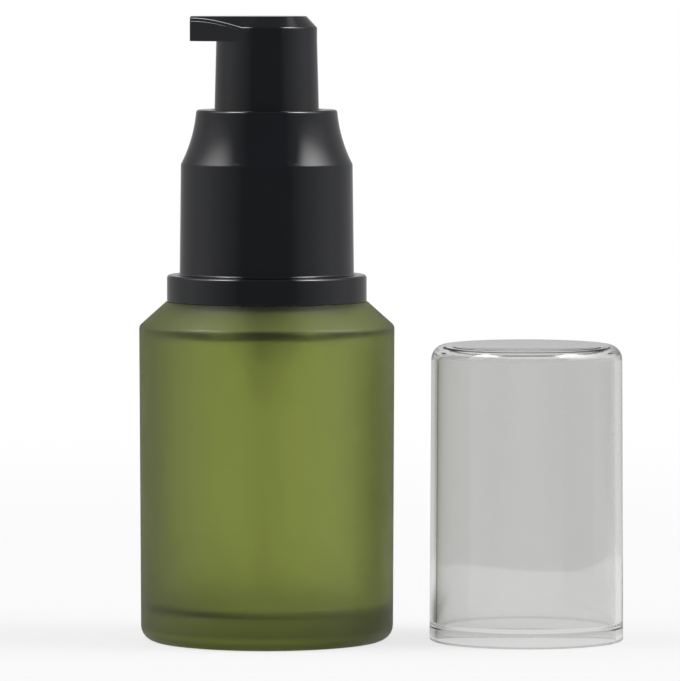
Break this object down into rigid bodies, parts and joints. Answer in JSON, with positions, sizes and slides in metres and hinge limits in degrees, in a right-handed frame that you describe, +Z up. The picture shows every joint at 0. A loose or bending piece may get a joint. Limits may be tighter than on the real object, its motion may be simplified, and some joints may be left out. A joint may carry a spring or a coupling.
{
  "type": "pump bottle",
  "caption": "Round frosted green glass bottle with a black press pump, side spout and base ring, and a clear overcap standing beside it.",
  "frame": {"origin": "centre of the bottle's flat underside, on the surface that the bottle and the overcap stand on", "axes": "+Z up along the bottle and the pump, -X the way the spout points, +X towards the overcap that stands beside the bottle, -Y the pictured front"},
  "size_m": [0.0702, 0.037, 0.0905],
  "materials": {
    "frosted_glass": "frosted",
    "gloss_black": "gloss",
    "clear_plastic": "clear gloss",
    "natural_plastic": "satin",
    "seal_plastic": "matte",
    "steel": "drawn wire and polished ball"
  },
  "bodies": {
    "bottle": {"bottle": "frosted_glass"},
    "pump": {"pump_housing": "natural_plastic", "lock_ring": "natural_plastic", "neck_gasket": "seal_plastic", "return_spring": "steel", "dip_tube": "natural_plastic"},
    "closure": {"screw_closure": "gloss_black", "base_ring": "gloss_black", "shroud": "gloss_black"},
    "stem": {"stem": "natural_plastic", "piston_rod": "natural_plastic"},
    "piston": {"piston": "seal_plastic"},
    "actuator": {"actuator_shell": "gloss_black", "actuator_core": "gloss_black", "nozzle_insert": "gloss_black"},
    "inlet_ball": {"inlet_ball": "steel"},
    "overcap": {"overcap": "clear_plastic"}
  },
  "joints": [
    {"name": "pump_lift", "type": "slide", "parent": "bottle", "child": "pump", "axis": [0, 0, 1], "range_m": [0, 0.0048]},
    {"name": "closure_turn", "type": "hinge", "parent": "pump", "child": "closure", "pos_m": [0, 0, 0.062], "axis": [0, 0, 1], "range_deg": [0, 540]},
    {"name": "actuator_press", "type": "slide", "parent": "pump", "child": "stem", "axis": [0, 0, -1], "range_m": [0, 0.0055], "stiffness_N_per_m": 700, "springref_m": -0.007, "deforming": ["return_spring"]},
    {"name": "actuator_turn", "type": "hinge", "parent": "stem", "child": "actuator", "pos_m": [0, 0, 0.0753], "axis": [0, 0, 1], "continuous": true},
    {"name": "piston_slip", "type": "slide", "parent": "stem", "child": "piston", "axis": [0, 0, 1], "range_m": [0, 0.0005]},
    {"name": "ball_lift", "type": "slide", "parent": "pump", "child": "inlet_ball", "axis": [0, 0, 1], "range_m": [0, 0.0008]},
    {"name": "overcap_lift", "type": "slide", "parent": "bottle", "child": "overcap", "axis": [0, 0, 1], "range_m": [0, 0.045]}
  ],
  "couplings": [
    {"joint": "pump_lift", "follows": "closure_turn", "m_per_rad": 0.00050532}
  ]
}
